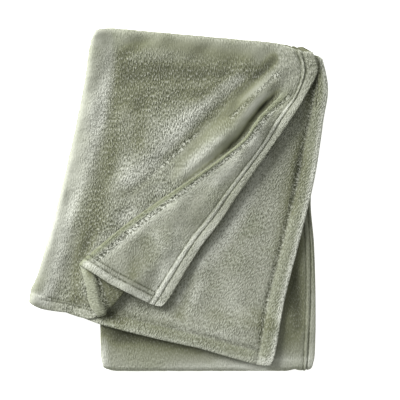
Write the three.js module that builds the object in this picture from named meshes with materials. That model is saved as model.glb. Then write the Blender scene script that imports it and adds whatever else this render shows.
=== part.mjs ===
import * as THREE from 'three';

// Fleece throw, folded lengthwise and laid over on itself. Millimetres, x to the right, y up the
// page, z up from the surface it lies on. It is one sheet: s runs from the lengthwise fold to a
// long hem, v runs along the throw from the short hem on top to the short hem turned under.
// Layer a is the upper half of the lengthwise fold on the front, layer b the lower half.

const clothAcross = 1270;
const clothAlong = 1780;
const widthB = 660;
const widthA = clothAcross - widthB;
const clothThickness = 3;
const hemThickness = 4.4;
const hemBand = 40;
const hemStep = 10;
const hemCorner = 26;

// Heights of the layers' middles.
const pairPitch = 7;
const stackPitch = 9;
const pairLoft = { height: 4, from: 20, span: 90 };
const footHeight = clothThickness / 2;

// Where the throw turns over the top and under the bottom, along the cloth.
const topFoldAt = 772;
const topFoldSkew = 0.13;
const backLength = 914;
const topFold = { reachA: 15, reachB: 5, insetB: 9, insetHemB: 18, swellA: 7, swellSpan: 48 };
const bottomFold = { reachA: 4, reachB: 12, insetA: 9, coverFrom: -200 };
const foldRoundness = 0.95;
const sideFold = { frontRadius: 13, backRadius: 4, openSpan: 56, narrowFrom: -40, narrowSpan: 80 };

// The end turned under lifts what lies on it.
const underEdgeY = -350;
const underRampSpan = 70;
const frontDropFrom = 8;
const frontDropSpan = 84;
const frontSag = { share: 0.4, span: 50 };
const hemDrop = { height: 5, from: 4, span: 50 };
const hemCurl = { height: 5, span: 60 };

// Outline of the front half, by part of the way from its short hem to the top fold.
const frontRows = [
  { part: 0.0, foldX: -400, foldY: -284, hemX: 252, hemY: -451 },
  { part: 0.2, foldX: -355, foldY: -133, hemX: 284, hemY: -268 },
  { part: 0.4, foldX: -316, foldY: 11, hemX: 325, hemY: -106 },
  { part: 0.6, foldX: -281, foldY: 158, hemX: 363, hemY: 55 },
  { part: 0.8, foldX: -250, foldY: 308, hemX: 388, hemY: 218 },
  { part: 0.9, foldX: -239, foldY: 384, hemX: 399, hemY: 301 },
  { part: 1.0, foldX: -228, foldY: 461, hemX: 380, hemY: 407 },
];

// Outline of the back half, by part of the way from the top fold to the bottom fold.
const backRows = [
  { part: 0.0, foldX: -228, foldY: 461, hemX: 380, hemY: 407 },
  { part: 0.15, foldX: -220, foldY: 322, hemX: 375, hemY: 266 },
  { part: 0.45, foldX: -211, foldY: 47, hemX: 354, hemY: 5 },
  { part: 0.6, foldX: -208, foldY: -91, hemX: 363, hemY: -121 },
  { part: 0.8, foldX: -207, foldY: -273, hemX: 367, hemY: -289 },
  { part: 1.0, foldX: -207, foldY: -457, hemX: 363, hemY: -457 },
];
const underRows = [
  { part: 0, foldX: -207, foldY: -457, hemX: 363, hemY: -457 },
  { part: 1, foldX: -202, foldY: -337, hemX: 356, hemY: -337 },
];
const underLength = 120;

// The upper layer is folded back on itself in a pleat that opens from a point near its top right.
// In the flat cloth the pleat's two bends run straight from that point to the short hem.
const pleat = { topS: 538, topV: 732, lowBendS: 189, highBendS: 345 };
const pleatRadius = {
  least: 2.6, open: 8, closed: 4.1, openTo: 180, closedFrom: 430, hem: 5.5, hemSpan: 70,
};
const pleatFall = { span: 66, topLift: 15, endLift: 8, liftSpan: 600 };
const flapLoftLoss = { share: 0.8, from: 100, span: 90, endV: 500 };
const ridgeRows = [
  { v: 0, x: -268, y: -172 },
  { v: 173, x: -129, y: -59 },
  { v: 417, x: 71, y: 79 },
  { v: 510, x: 145, y: 135 },
  { v: 560, x: 177, y: 163 },
  { v: 590, x: 190, y: 182 },
  { v: 618, x: 203, y: 203 },
  { v: 643, x: 218, y: 222 },
  { v: 672, x: 238, y: 242 },
  { v: 700, x: 258, y: 263 },
  { v: 732, x: 287, y: 297 },
];
const flapHemRows = [
  { v: 0, x: -45, y: -300 },
  { v: 208, x: 61, y: -126 },
  { v: 300, x: 114, y: -57 },
  { v: 383, x: 157, y: 9 },
  { v: 552, x: 248, y: 138 },
  { v: 648, x: 299, y: 212 },
  { v: 722, x: 337, y: 272 },
  { v: 785, x: 372, y: 343 },
  { v: 850, x: 358, y: 396 },
];

// Rounded and uneven places: the cloth near a place is drawn aside, less and less up to its reach.
// share is 1 on the front's upper layer alone and on its run round the folds, 0 on the lower, -1 on both.
const nudgeRows = [
  { s: 0, v: 772, reachS: 66, reachV: 66, share: -1, dx: 10, dy: -11 },
  { s: 0, v: 1686, reachS: 60, reachV: 60, share: -1, dx: 9, dy: 9 },
  { s: 660, v: 1686, reachS: 56, reachV: 56, share: -1, dx: -9, dy: 9 },
  { s: 600, v: 1686, reachS: 30, reachV: 30, share: -1, dx: 0, dy: 6 },
  { s: 0, v: 0, reachS: 44, reachV: 44, share: -1, dx: 5, dy: 8 },
  { s: 195, v: 0, reachS: 110, reachV: 110, share: 1, dx: 0, dy: 12 },
  { s: 240, v: 0, reachS: 58, reachV: 70, share: 1, dx: -14, dy: 2 },
  { s: 195, v: 0, reachS: 44, reachV: 46, share: 1, dx: -1, dy: 13 },
  { s: 345, v: 0, reachS: 44, reachV: 48, share: 1, dx: 1, dy: -4 },
  { s: 450, v: 0, reachS: 300, reachV: 200, share: 1, dx: -4.5, dy: -8.5 },
  { s: 0, v: 45, reachS: 50, reachV: 60, share: -1, dx: -6, dy: 0 },
  { s: 460, v: 0, reachS: 200, reachV: 120, share: 0, dx: 0, dy: 5 },
  { s: 100, v: 0, reachS: 90, reachV: 110, share: 1, dx: 0, dy: 8 },
  { s: 90, v: 0, reachS: 150, reachV: 130, share: 0, dx: 0, dy: 14 },
  { s: 592, v: 850, reachS: 90, reachV: 60, share: 1, dx: 0, dy: -9 },
  { s: 660, v: 850, reachS: 60, reachV: 70, share: 0, dx: -2, dy: 0 },
];

// Soft ridges and troughs, each along a line through its places.
const upperRelief = [
  { line: 'left trough', x: -160, y: 425, height: -1, width: 30 },
  { line: 'left trough', x: -176, y: 300, height: -6, width: 32 },
  { line: 'left trough', x: -186, y: 220, height: -6, width: 32 },
  { line: 'left trough', x: -222, y: 0, height: -6, width: 32 },
  { line: 'left trough', x: -262, y: -110, height: -6, width: 30 },
  { line: 'left trough', x: -306, y: -240, height: -5, width: 30 },
  { line: 'top trough', x: -150, y: 395, height: -2, width: 26 },
  { line: 'top trough', x: -135, y: 350, height: -6, width: 34 },
  { line: 'top trough', x: 0, y: 352, height: -5, width: 34 },
  { line: 'top trough', x: 150, y: 345, height: -4, width: 30 },
  { line: 'top crease', x: -112, y: 410, height: -2, width: 9 },
  { line: 'top crease', x: -60, y: 432, height: -2, width: 9 },
  { line: 'low ridge', x: 172, y: 338, height: 3, width: 26 },
  { line: 'low ridge', x: 57, y: 240, height: 6, width: 34 },
  { line: 'low ridge', x: -50, y: 168, height: 7, width: 36 },
  { line: 'low ridge', x: -120, y: 75, height: 6, width: 38 },
  { line: 'valley', x: 250, y: 352, height: -2, width: 18 },
  { line: 'valley', x: 199, y: 328, height: -4, width: 20 },
  { line: 'valley', x: 103, y: 240, height: -5, width: 20 },
  { line: 'valley', x: -36, y: 106, height: -4, width: 24 },
  { line: 'high ridge', x: 298, y: 357, height: 4, width: 22 },
  { line: 'high ridge', x: 234, y: 304, height: 12, width: 26 },
  { line: 'high ridge', x: 186, y: 247, height: 22, width: 31 },
  { line: 'high ridge', x: 152, y: 195, height: 22, width: 31 },
  { line: 'high ridge', x: 85, y: 135, height: 15, width: 29 },
  { line: 'high ridge', x: 43, y: 98, height: 10, width: 26 },
  { line: 'high ridge', x: -1, y: 58, height: 6, width: 22 },
  { line: 'high ridge', x: -36, y: 31, height: 3, width: 22 },
  { line: 'flap ridge', x: 4, y: -8, height: 4, width: 26 },
  { line: 'flap ridge', x: -57, y: -88, height: 4, width: 26 },
  { line: 'flap valley', x: -60, y: -150, height: -2, width: 24 },
  { line: 'flap valley', x: -112, y: -120, height: -4, width: 26 },
  { line: 'flap valley', x: -120, y: -190, height: -3, width: 26 },
];
const lowerRelief = [
  { line: 'left valley', x: 60, y: -110, height: -2, width: 22 },
  { line: 'left valley', x: 15, y: -260, height: -3, width: 22 },
  { line: 'left valley', x: -2, y: -320, height: -2, width: 22 },
  { line: 'left ridge', x: 75, y: -150, height: 2, width: 26 },
  { line: 'left ridge', x: 58, y: -180, height: 5, width: 26 },
  { line: 'left ridge', x: 30, y: -300, height: 5, width: 26 },
  { line: 'far ridge', x: 190, y: -60, height: 2, width: 40 },
  { line: 'far ridge', x: 150, y: -250, height: 3, width: 40 },
];
const reliefFloor = { least: -2.2, softness: 2 };

// Lines of the grid that makes the sheet: how many steps each stretch takes.
const gridSteps = { flap: 4, upper: 14, sideTurn: 6, lowerFold: 8, lower: 5, hem: 2 };
const lowerFoldSpan = 260;
const pleatTurnSteps = 4;
const pleatRunSteps = 1;
const pleatLeastSpan = 26;
const lengthSteps = {
  hem: 2, front: 16, frontTop: 12, topTurn: 8, back: 4, backEnd: 6, bottomTurn: 6, under: 1, endHem: 1,
};
const frontTopFrom = 500;
const backEndSpan = 210;
const topTurnHalf = 23;
const bottomTurnHalf = 18;
const crestCrowding = 1.6;
const normalStep = 0.4;

const clamp = THREE.MathUtils.clamp;
const lerp = THREE.MathUtils.lerp;

function ease(x) {
  const t = clamp(x, 0, 1);
  return t * t * (3 - 2 * t);
}

function bump(distance, span) {
  return Math.exp(-((distance / span) ** 2));
}

// One column of a table, on a smooth curve through its rows.
function readTable(rows, key, at, column) {
  const last = rows.length - 1;
  let i = 0;
  while (i < last - 1 && rows[i + 1][key] < at) i += 1;
  const slope = (k) => {
    const low = rows[Math.max(k - 1, 0)];
    const high = rows[Math.min(k + 1, last)];
    return (high[column] - low[column]) / (high[key] - low[key]);
  };
  const span = rows[i + 1][key] - rows[i][key];
  const t = (at - rows[i][key]) / span;
  if (t <= 0) return rows[i][column] + slope(i) * (at - rows[i][key]);
  if (t >= 1) return rows[i + 1][column] + slope(i + 1) * (at - rows[i + 1][key]);
  const t2 = t * t;
  const t3 = t2 * t;
  return rows[i][column] * (2 * t3 - 3 * t2 + 1)
    + rows[i + 1][column] * (3 * t2 - 2 * t3)
    + slope(i) * span * (t3 - 2 * t2 + t)
    + slope(i + 1) * span * (t3 - t2);
}

function topFoldV(s) {
  return topFoldAt + topFoldSkew * s;
}

const bottomFoldV = topFoldAt + backLength;

// A place between the fold line and the hem line of one of the outline tables.
function outlinePlace(rows, part, s) {
  const across = s / widthB;
  return {
    x: lerp(readTable(rows, 'part', part, 'foldX'), readTable(rows, 'part', part, 'hemX'), across),
    y: lerp(readTable(rows, 'part', part, 'foldY'), readTable(rows, 'part', part, 'hemY'), across),
  };
}

// How far the cloth reaches from the crest of a fold, a given length of cloth away from it.
function reachFromFold(length, radius, reach) {
  const quarter = (radius * Math.PI) / 2;
  const far = Math.abs(length);
  if (far > quarter) return reach + far - quarter;
  return reach * (1 - Math.cos(far / radius));
}

// How much of the lower side a point of a fold has left behind, from 1 down to 0.
function upperShare(length, radius) {
  return 0.5 - 0.5 * Math.sin(clamp(length / radius, -Math.PI / 2, Math.PI / 2));
}

function underShare(y) {
  return 1 - ease((y - underEdgeY) / underRampSpan);
}

// Sum of the lines' heights at a place; along one line its nearest stretch counts.
function relief(rows, x, y) {
  const lines = {};
  for (let i = 1; i < rows.length; i += 1) {
    const from = rows[i - 1];
    const to = rows[i];
    if (from.line !== to.line) continue;
    const alongX = to.x - from.x;
    const alongY = to.y - from.y;
    const length2 = alongX * alongX + alongY * alongY;
    const part = clamp(((x - from.x) * alongX + (y - from.y) * alongY) / length2, 0, 1);
    const away = Math.hypot(x - from.x - part * alongX, y - from.y - part * alongY);
    const known = lines[to.line];
    if (known && known.away <= away) continue;
    const width = lerp(from.width, to.width, part);
    lines[to.line] = { away, height: lerp(from.height, to.height, part) * bump(away, width) };
  }
  return Object.values(lines).reduce((sum, line) => sum + line.height, 0);
}

// Never much lower than the layer under it.
function settle(height) {
  const over = height - reliefFloor.least;
  return reliefFloor.least + (over + Math.hypot(over, reliefFloor.softness)) / 2;
}

// Middle heights of the layers of the back half, and of the front's lower layer on top of them.
function backHeights(x, y, s) {
  const lift = underShare(y) * 2 * pairPitch;
  const opening = (2 * sideFold.backRadius - pairPitch) * bump(s, sideFold.openSpan / 2);
  const low = footHeight + lift;
  const hemSag = hemDrop.height * ease((s - widthA - hemDrop.from) / hemDrop.span);
  return { a: low, b: low + pairPitch + opening - hemSag };
}

function frontBase(x, y) {
  const part = clamp((backRows[0].foldY - y) / (backRows[0].foldY - backRows[5].foldY), 0, 1);
  const leftEdge = readTable(backRows, 'part', part, 'foldX');
  const rightEdge = readTable(backRows, 'part', part, 'hemX');
  const offLeft = ease((leftEdge - frontDropFrom - x) / frontDropSpan);
  const offRight = frontSag.share * ease((x - rightEdge) / frontSag.span);
  const stack = pairPitch + stackPitch + underShare(y) * 2 * pairPitch;
  return footHeight + stack * (1 - offLeft) * (1 - offRight);
}

// Section across the pleat at one v: flat, a turn, a straight run back, a turn, flat again.
function pleatSection(v) {
  const open = clamp((pleat.topV - v) / pleat.topV, 0, 1);
  const low = lerp(pleat.topS, pleat.lowBendS, open);
  const high = lerp(pleat.topS, pleat.highBendS, open);
  const middle = high - low;
  const fromTop = open * pleat.topV;
  const { openTo, closedFrom } = pleatRadius;
  const tightness = ease((fromTop - openTo) / (closedFrom - openTo));
  const body = lerp(pleatRadius.open, pleatRadius.closed, tightness);
  const roomy = lerp(body, pleatRadius.hem, bump(v, pleatRadius.hemSpan));
  const radius = Math.min(roomy, Math.max(middle / Math.PI, pleatRadius.least));
  const turn = Math.min(Math.PI, middle / radius);
  const run = middle - radius * turn;
  return { low, high, radius, turn, run, start: low - (radius * turn) / 2 };
}

function sectionPoint(section, s) {
  const { radius, turn, run, start } = section;
  const arc = radius * turn;
  const length = s - start;
  if (length <= 0) return { x: length, z: 0 };
  if (length <= arc) {
    const angle = length / radius;
    return { x: radius * Math.sin(angle), z: radius * (1 - Math.cos(angle)) };
  }
  const lowX = radius * Math.sin(turn);
  const lowZ = radius * (1 - Math.cos(turn));
  if (length <= arc + run) {
    const gone = length - arc;
    return { x: lowX + gone * Math.cos(turn), z: lowZ + gone * Math.sin(turn) };
  }
  const midX = lowX + run * Math.cos(turn);
  const midZ = lowZ + run * Math.sin(turn);
  const rest = length - arc - run;
  const angle = turn - Math.min(rest, arc) / radius;
  const x = midX + radius * (Math.sin(turn) - Math.sin(angle));
  const z = midZ + radius * (Math.cos(angle) - Math.cos(turn));
  return { x: x + Math.max(rest - arc, 0), z };
}

// Upper layer of the front: left of the pleat, back under the flap, and the flap out to its hem.
function upperFront(s, v, part) {
  const section = pleatSection(v);
  const { radius, turn, run, start } = section;
  const quarter = Math.PI / 2;
  const here = sectionPoint(section, s);
  const lowAt = start + radius * Math.min(turn, quarter);
  const highAt = start + radius * turn + run + radius * Math.max(turn - quarter, 0);
  const lowX = sectionPoint(section, lowAt).x;
  const highX = sectionPoint(section, highAt).x;
  if (s <= lowAt) {
    const place = outlinePlace(frontRows, part, start + here.x);
    return { ...place, lift: here.z };
  }
  const low = outlinePlace(frontRows, part, start + lowX);
  const folded = turn > quarter ? 1 - Math.sin(turn) : 0;
  const high = {
    x: lerp(low.x, readTable(ridgeRows, 'v', v, 'x'), folded),
    y: lerp(low.y, readTable(ridgeRows, 'v', v, 'y'), folded),
  };
  if (s <= highAt) {
    const back = (lowX - here.x) / Math.max(lowX - highX, 1e-6);
    return { x: lerp(low.x, high.x, back), y: lerp(low.y, high.y, back), lift: here.z };
  }
  const hem = {
    x: readTable(flapHemRows, 'v', v, 'x'),
    y: readTable(flapHemRows, 'v', v, 'y'),
  };
  const out = (here.x - highX) / (sectionPoint(section, widthA).x - highX);
  const covered = here.x - lowX;
  const rise = 2 * radius * (1 - Math.cos(turn)) + run * Math.sin(turn);
  const settled = ease(covered / pleatFall.span);
  const kept = lerp(pleatFall.endLift, pleatFall.topLift, ease(v / pleatFall.liftSpan));
  const lift = here.z - Math.max(rise - kept, 0) * settled;
  return { x: lerp(high.x, hem.x, out), y: lerp(high.y, hem.y, out), lift };
}

// Short hem's corners are rounded: the cloth near a corner is drawn in along the diagonal.
function roundCorners(u, v) {
  const side = Math.sign(u);
  const edgeU = side > 0 ? widthA : widthB;
  const fromHem = edgeU - Math.abs(u);
  const fromEnd = Math.min(v, clothAlong - v);
  const near = Math.max(1 - fromHem / (2 * hemCorner), 0) * Math.max(1 - fromEnd / (2 * hemCorner), 0);
  const pull = hemCorner * (1 - Math.SQRT1_2) * near * near;
  const endSign = v < clothAlong / 2 ? 1 : -1;
  return { u: u - side * pull, v: v + endSign * pull };
}

// Middle of the sheet. u is the place across the cloth: layer a above 0, layer b below 0.
function sheetPlace(uFlat, vFlat) {
  const { u, v } = roundCorners(uFlat, vFlat);
  const onBack = ease((v - topFoldV(0) - sideFold.narrowFrom) / sideFold.narrowSpan);
  const radius = lerp(sideFold.frontRadius, sideFold.backRadius, onBack);
  const halfTurn = (radius * Math.PI) / 2;
  const turned = clamp(u / radius, -Math.PI / 2, Math.PI / 2);
  const shareA = 0.5 + 0.5 * Math.sin(turned);
  const far = Math.abs(u);
  const bent = far < halfTurn ? radius * (1 - Math.cos(turned)) : radius + far - halfTurn;
  const s = (bent * widthB) / (widthB + radius - halfTurn);

  const fromTop = v - topFoldV(s);
  const fromBottom = v - bottomFoldV;
  const hemShare = s / widthB;
  const topReach = lerp(topFold.reachB, topFold.reachA, shareA);
  const topInset = lerp(topFold.insetB + topFold.insetHemB * hemShare ** 4, 0, shareA);
  const topRadius = topReach * foldRoundness;
  const bottomReach = lerp(bottomFold.reachB, bottomFold.reachA, shareA);
  const bottomInset = lerp(0, bottomFold.insetA, shareA);
  const bottomRadius = bottomReach * foldRoundness;

  let place;
  let lift = 0;
  const topGap = topInset + reachFromFold(fromTop, topRadius, topReach);
  if (fromTop < 0) {
    const length = topFoldV(s);
    const part = 1 - topGap / (topInset + reachFromFold(length, topRadius, topReach));
    if (shareA === 1) {
      place = upperFront(s, length - topGap, part);
      lift = place.lift;
    } else {
      place = outlinePlace(frontRows, part, s);
    }
  } else if (fromBottom < 0) {
    const length = backLength;
    const bottomGap = bottomInset + reachFromFold(fromBottom, bottomRadius, bottomReach);
    const towards = ease(fromTop / length);
    const part = lerp(topGap / length, 1 - bottomGap / length, towards);
    place = outlinePlace(backRows, part, s);
  } else {
    const bottomGap = bottomInset + reachFromFold(fromBottom, bottomRadius, bottomReach);
    place = outlinePlace(underRows, bottomGap / underLength, s);
  }
  let { x, y } = place;
  for (const row of nudgeRows) {
    const nearS = Math.max(1 - Math.abs(s - row.s) / row.reachS, 0);
    const foldV = row.v > 0 && row.v < bottomFoldV ? topFoldV(s) - topFoldV(row.s) : 0;
    const nearV = Math.max(1 - Math.abs(v - foldV - row.v) / row.reachV, 0);
    const layer = row.share < 0 ? 1 : 1 - Math.abs(row.share - shareA);
    const near = nearS * nearS * nearV * nearV * layer;
    x += row.dx * near;
    y += row.dy * near;
  }

  const back = backHeights(x, y, s);
  const backZ = lerp(back.b, back.a, shareA);
  const base = frontBase(x, y);
  const opening = (2 * sideFold.frontRadius - pairPitch) * bump(s, sideFold.openSpan);
  const loft = pairLoft.height * ease((s - pairLoft.from) / pairLoft.span);
  const swell = bump(topGap, topFold.swellSpan);
  const curl = hemCurl.height * ease(1 - Math.min(widthB - s, Math.max(v, 0)) / hemCurl.span);
  const lower = base + relief(lowerRelief, x, y) + curl * (1 - shareA);
  const loss = ease((s - widthA + flapLoftLoss.from) / flapLoftLoss.span) * ease(1 - v / flapLoftLoss.endV);
  const raised = settle(loft * (1 - flapLoftLoss.share * loss) + relief(upperRelief, x, y));
  const upper = lower + pairPitch + opening + raised + topFold.swellA * swell + lift;
  const frontZ = lerp(lower, upper, shareA);
  const underA = footHeight + pairPitch;
  const underZ = lerp(footHeight, underA, shareA);
  const overTop = upperShare(fromTop, topRadius);
  const overBottom = upperShare(fromBottom, bottomRadius);
  const nearBottom = fromBottom > bottomFold.coverFrom;
  const z = nearBottom ? lerp(underZ, backZ, overBottom) : lerp(backZ, frontZ, overTop);
  const padding = (thicknessAt(u, v) - clothThickness) / 2;
  return new THREE.Vector3(x, y, z + padding);
}

function thicknessAt(u, v) {
  const fromHem = u > 0 ? widthA - u : widthB + u;
  const fromEdge = Math.min(fromHem, v, clothAlong - v);
  return lerp(hemThickness, clothThickness, ease((fromEdge - hemBand + hemStep) / hemStep));
}

// Evenly spaced places from one value to another, without the last one.
function steps(from, to, count) {
  return Array.from({ length: count }, (_, i) => lerp(from, to, i / count));
}

function acrossLines(v) {
  const { low, high, radius, turn, run } = pleatSection(Math.min(v, pleat.topV));
  const least = pleatLeastSpan / (2 * pleatTurnSteps + pleatRunSteps);
  const turnStep = Math.max(radius * turn / pleatTurnSteps, least);
  const runStep = Math.max(run / pleatRunSteps, least);
  const pleatSpan = 2 * pleatTurnSteps * turnStep + pleatRunSteps * runStep;
  const sideTurn = (sideFold.frontRadius * Math.PI) / 2;
  const pleatFrom = (low + high - pleatSpan) / 2 + sideTurn - sideFold.frontRadius;
  return [
    ...steps(-widthB, -widthB + hemBand, gridSteps.hem),
    ...steps(-widthB + hemBand, -lowerFoldSpan, gridSteps.lower),
    ...steps(-lowerFoldSpan, -sideTurn, gridSteps.lowerFold),
    ...steps(-sideTurn, sideTurn, gridSteps.sideTurn),
    ...steps(sideTurn, pleatFrom, gridSteps.upper),
    ...steps(pleatFrom, pleatFrom + pleatTurnSteps * turnStep, pleatTurnSteps),
    ...steps(pleatFrom + pleatTurnSteps * turnStep,
      pleatFrom + pleatTurnSteps * turnStep + pleatRunSteps * runStep, pleatRunSteps),
    ...steps(pleatFrom + pleatTurnSteps * turnStep + pleatRunSteps * runStep,
      pleatFrom + pleatSpan, pleatTurnSteps),
    ...steps(pleatFrom + pleatSpan, widthA - hemBand, gridSteps.flap),
    ...steps(widthA - hemBand, widthA, gridSteps.hem),
    widthA,
  ];
}

// Places along the throw, each a part of the way along one of its stretches. The lines of a turn
// lie closer together at its crest.
function alongLines() {
  const list = [];
  const stretch = (name) => {
    for (let i = 0; i < lengthSteps[name]; i += 1) list.push({ name, part: i / lengthSteps[name] });
  };
  Object.keys(lengthSteps).forEach(stretch);
  list.push({ name: 'endHem', part: 1 });
  return list;
}

function alongPlace(line, s) {
  const top = topFoldV(s);
  const ends = {
    hem: [0, hemBand],
    front: [hemBand, frontTopFrom],
    frontTop: [frontTopFrom, top - topTurnHalf],
    topTurn: [top - topTurnHalf, top + topTurnHalf],
    back: [top + topTurnHalf, bottomFoldV - backEndSpan],
    backEnd: [bottomFoldV - backEndSpan, bottomFoldV - bottomTurnHalf],
    bottomTurn: [bottomFoldV - bottomTurnHalf, bottomFoldV + bottomTurnHalf],
    under: [bottomFoldV + bottomTurnHalf, clothAlong - hemBand],
    endHem: [clothAlong - hemBand, clothAlong],
  }[line.name];
  if (!line.name.endsWith('Turn')) return lerp(ends[0], ends[1], line.part);
  const fromCrest = 2 * line.part - 1;
  const crowded = Math.sign(fromCrest) * Math.abs(fromCrest) ** crestCrowding;
  return lerp(ends[0], ends[1], 0.5 + 0.5 * crowded);
}

function sheetNormal(u, v) {
  const d = normalStep;
  const u0 = Math.max(u - d, -widthB);
  const u1 = Math.min(u + d, widthA);
  const v0 = Math.max(v - d, 0);
  const v1 = Math.min(v + d, clothAlong);
  const alongU = sheetPlace(u1, v).sub(sheetPlace(u0, v));
  const alongV = sheetPlace(u, v1).sub(sheetPlace(u, v0));
  return alongU.cross(alongV).normalize();
}

// Closed sheet: the same grid on both faces, joined along the hems.
function buildSheet() {
  const rows = alongLines();
  const positions = [];
  const index = [];
  const count = acrossLines(0).length;
  for (const row of rows) {
    for (let i = 0; i < count; i += 1) {
      const rough = acrossLines(alongPlace(row, widthA))[i];
      const u = acrossLines(alongPlace(row, Math.abs(rough)))[i];
      const v = alongPlace(row, Math.abs(u));
      const place = sheetPlace(u, v);
      const half = sheetNormal(u, v).multiplyScalar(thicknessAt(u, v) / 2);
      positions.push(place.clone().add(half), place.clone().sub(half));
    }
  }
  const at = (i, j, face) => 2 * (j * count + i) + face;
  const quad = (a, b, c, d) => index.push(a, b, c, a, c, d);
  for (let j = 0; j < rows.length - 1; j += 1) {
    for (let i = 0; i < count - 1; i += 1) {
      quad(at(i, j, 0), at(i + 1, j, 0), at(i + 1, j + 1, 0), at(i, j + 1, 0));
      quad(at(i, j, 1), at(i, j + 1, 1), at(i + 1, j + 1, 1), at(i + 1, j, 1));
    }
  }
  for (let i = 0; i < count - 1; i += 1) {
    const j = rows.length - 1;
    quad(at(i, 0, 1), at(i + 1, 0, 1), at(i + 1, 0, 0), at(i, 0, 0));
    quad(at(i, j, 0), at(i + 1, j, 0), at(i + 1, j, 1), at(i, j, 1));
  }
  for (let j = 0; j < rows.length - 1; j += 1) {
    const i = count - 1;
    quad(at(0, j, 0), at(0, j + 1, 0), at(0, j + 1, 1), at(0, j, 1));
    quad(at(i, j, 1), at(i, j + 1, 1), at(i, j + 1, 0), at(i, j, 0));
  }
  const geometry = new THREE.BufferGeometry();
  geometry.setAttribute('position',
    new THREE.Float32BufferAttribute(positions.flatMap((p) => [p.x, p.y, p.z]), 3));
  geometry.setIndex(index);
  geometry.computeBoundingBox();
  const { min, max } = geometry.boundingBox;
  geometry.translate(-(min.x + max.x) / 2, -(min.y + max.y) / 2, -min.z);
  geometry.computeVertexNormals();
  return geometry;
}

const fleece = new THREE.MeshStandardMaterial({ color: '#96998a', roughness: 0.95, metalness: 0 });
const throwSheet = new THREE.Mesh(buildSheet(), fleece);
throwSheet.name = 'throw';

const model = new THREE.Group();
model.add(throwSheet);

export default model;
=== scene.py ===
import math
import bpy
import numpy as np
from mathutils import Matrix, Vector


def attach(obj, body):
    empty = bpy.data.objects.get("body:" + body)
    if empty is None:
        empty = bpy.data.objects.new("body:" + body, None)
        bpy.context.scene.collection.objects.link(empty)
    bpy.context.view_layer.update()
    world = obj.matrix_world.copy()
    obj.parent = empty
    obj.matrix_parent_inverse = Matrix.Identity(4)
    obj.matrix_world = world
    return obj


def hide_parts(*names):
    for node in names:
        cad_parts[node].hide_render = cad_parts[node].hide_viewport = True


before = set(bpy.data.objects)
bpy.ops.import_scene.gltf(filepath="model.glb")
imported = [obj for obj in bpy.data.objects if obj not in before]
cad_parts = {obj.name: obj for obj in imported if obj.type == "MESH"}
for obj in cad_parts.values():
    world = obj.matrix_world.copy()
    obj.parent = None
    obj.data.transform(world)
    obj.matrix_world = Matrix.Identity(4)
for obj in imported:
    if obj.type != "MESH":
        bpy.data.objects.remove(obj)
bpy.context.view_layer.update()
print("frame loaded")

# Plush fleece throw folded lengthwise, laid over on itself, one corner of the front turned back.
# Sizes in millimetres; s runs from the lengthwise fold to a long hem, v from the short hem on top
# round the top fold and the bottom fold to the short hem turned under.
throwSizes = {
    "across": 1270, "along": 1780, "widthB": 660,
    "thickness": 3.0, "hemThickness": 4.4, "hemCorner": 26,
    "pairPitch": 7, "stackPitch": 9, "hemCurl": 5, "hemCurlSpan": 60,
    "topFoldAt": 772, "topFoldSkew": 0.13, "backLength": 914,
    "pileUneven": 0.22, "underEdgeY": -350, "underRampSpan": 70, "underLength": 120,
    "dropFrom": 8, "dropSpan": 84, "sagSpan": 50, "sagShare": 0.4, "hemDropSpan": 50, "leastPitch": 2,
}
widthB = throwSizes["widthB"]
widthA = throwSizes["across"] - widthB
alongAll = throwSizes["along"]
bottomFoldV = throwSizes["topFoldAt"] + throwSizes["backLength"]

topFold = {"reachA": 15, "reachB": 5, "insetB": 9, "insetHemB": 18, "swellA": 7, "swellSpan": 48}
bottomFold = {"reachA": 4, "reachB": 12, "insetA": 9, "turnFrom": 200}
sideFold = {"frontRadius": 13, "backRadius": 4, "openSpan": 56, "changeSpan": 80}
bendRound = 0.95  # radius of a fold's bend, as a share of its reach

# The hem: its two sewn rows from the edge, the grooves and swells beside them, and where they change.
hemForm = {
    "rowsFront": (24.0, 40.5), "rowsTop": (24.0, 33.5), "rowsShort": (21.5, 34.0),
    "rowsBehind": (11.5, 27.0), "rowsBehindLow": (21.0, 33.5), "rowsShortLeft": (25.5, 33.0),
    "topAt": 770, "topSpan": 110, "lowFrom": 1380, "lowSpan": 280, "behindFrom": 40, "behindSpan": 120,
    "leftTo": 130, "leftSpan": 120,
    "grooveDepth": 1.5, "grooveWidth": 2.0, "ridgeSwell": 0.9, "ridgeShare": 0.42, "rollSwell": 1.1,
    "softDepth": 1.9, "softWidth": 7.0, "softInset": 5.0,
    "tubeSwell": 2.4, "tubeReach": 1.6, "tubeFullAt": 275, "tubeFullSpan": 50, "tubeFull": 0.9,
    "bandPast": 3, "bandSpan": 6, "stopBefore": 2, "stopSpan": 4, "foldClear": 30, "foldClearSpan": 25,
}

# Outline of the front and back halves: part of the way along, fold line x y, hem line x y.
frontRows = np.array([
    (0.0, -400, -284, 252, -451), (0.2, -355, -133, 284, -268), (0.4, -316, 11, 325, -106),
    (0.6, -281, 158, 363, 55), (0.8, -250, 308, 388, 218), (0.9, -239, 384, 399, 301),
    (1.0, -228, 461, 380, 407)], dtype=float)
backRows = np.array([
    (0.0, -228, 461, 380, 407), (0.15, -220, 322, 375, 266), (0.45, -211, 47, 354, 5),
    (0.6, -208, -91, 363, -121), (0.8, -207, -273, 367, -289), (1.0, -207, -457, 363, -457)], dtype=float)
underRows = np.array([(0, -207, -457, 363, -457), (1, -202, -337, 356, -337)], dtype=float)

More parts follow.
